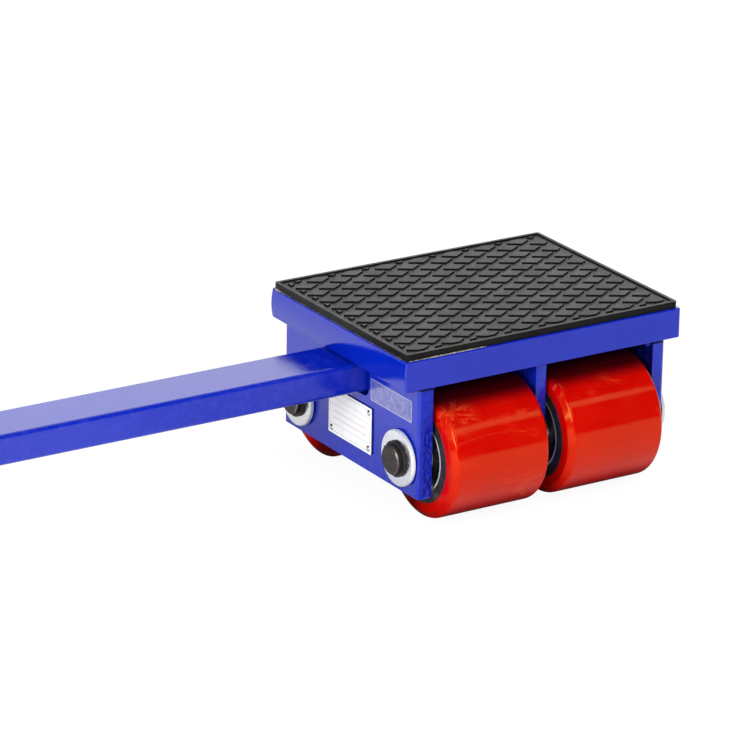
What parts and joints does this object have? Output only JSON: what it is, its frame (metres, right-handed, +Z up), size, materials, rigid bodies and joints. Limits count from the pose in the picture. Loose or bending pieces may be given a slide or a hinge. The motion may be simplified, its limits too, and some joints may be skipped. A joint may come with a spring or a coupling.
{
  "type": "machine skate",
  "caption": "Low heavy-load skate with wide red rollers under a thick blue plate, a grey anti-slip pad and a tie bar that slides through it.",
  "frame": {"origin": "on the floor, under the middle of the platform between the four rollers", "axes": "+X along the axles, away from the tie bar's free end; +Y in the rolling direction, towards the rear rollers; +Z up"},
  "size_m": [0.5007, 0.208, 0.1185],
  "materials": {
    "blue_paint": "gloss",
    "grey_rubber": "matt",
    "red_polyurethane": "gloss",
    "black_iron": "satin",
    "black_steel": "black oxide",
    "zinc_steel": "zinc plated",
    "bright_steel": "polished",
    "black_rubber": "matt",
    "white_plate": "satin",
    "clear_film": "gloss"
  },
  "bodies": {
    "frame": {"top_plate": "blue_paint", "left_side_plate": "blue_paint", "right_side_plate": "blue_paint", "centre_plate": "blue_paint", "weld_beads": "blue_paint", "anti_slip_pad": "grey_rubber", "front_axle": "black_steel", "rear_axle": "black_steel", "axle_washers": "zinc_steel", "axle_circlips": "black_steel", "axle_spacers": "zinc_steel", "rating_plate": "white_plate", "rating_plate_rivets": "bright_steel", "blank_sticker": "clear_film", "front_left_bearing_inner_rings": "bright_steel", "front_left_bearing_sleeve": "zinc_steel", "front_right_bearing_inner_rings": "bright_steel", "front_right_bearing_sleeve": "zinc_steel", "rear_left_bearing_inner_rings": "bright_steel", "rear_left_bearing_sleeve": "zinc_steel", "rear_right_bearing_inner_rings": "bright_steel", "rear_right_bearing_sleeve": "zinc_steel"},
    "front_left_roller": {"front_left_tyre": "red_polyurethane", "front_left_hub": "black_iron", "front_left_bearing_outer_rings": "bright_steel", "front_left_bearing_seals": "black_rubber", "front_left_bearing_balls": "bright_steel", "front_left_bearing_cages": "zinc_steel"},
    "front_right_roller": {"front_right_tyre": "red_polyurethane", "front_right_hub": "black_iron", "front_right_bearing_outer_rings": "bright_steel", "front_right_bearing_seals": "black_rubber", "front_right_bearing_balls": "bright_steel", "front_right_bearing_cages": "zinc_steel"},
    "rear_left_roller": {"rear_left_tyre": "red_polyurethane", "rear_left_hub": "black_iron", "rear_left_bearing_outer_rings": "bright_steel", "rear_left_bearing_seals": "black_rubber", "rear_left_bearing_balls": "bright_steel", "rear_left_bearing_cages": "zinc_steel"},
    "rear_right_roller": {"rear_right_tyre": "red_polyurethane", "rear_right_hub": "black_iron", "rear_right_bearing_outer_rings": "bright_steel", "rear_right_bearing_seals": "black_rubber", "rear_right_bearing_balls": "bright_steel", "rear_right_bearing_cages": "zinc_steel"},
    "bar": {"tie_bar": "blue_paint", "bar_stop_pins": "bright_steel"}
  },
  "joints": [
    {"name": "front_left_roller_spin", "type": "hinge", "parent": "frame", "child": "front_left_roller", "pos_m": [-0.044, -0.0615, 0.0425], "axis": [1, 0, 0], "continuous": true},
    {"name": "front_right_roller_spin", "type": "hinge", "parent": "frame", "child": "front_right_roller", "pos_m": [0.044, -0.0615, 0.0425], "axis": [1, 0, 0], "continuous": true},
    {"name": "rear_left_roller_spin", "type": "hinge", "parent": "frame", "child": "rear_left_roller", "pos_m": [-0.044, 0.0615, 0.0425], "axis": [1, 0, 0], "continuous": true},
    {"name": "rear_right_roller_spin", "type": "hinge", "parent": "frame", "child": "rear_right_roller", "pos_m": [0.044, 0.0615, 0.0425], "axis": [1, 0, 0], "continuous": true},
    {"name": "tie_bar_slide", "type": "slide", "parent": "frame", "child": "bar", "axis": [1, 0, 0], "range_m": [0, 0.291]}
  ]
}
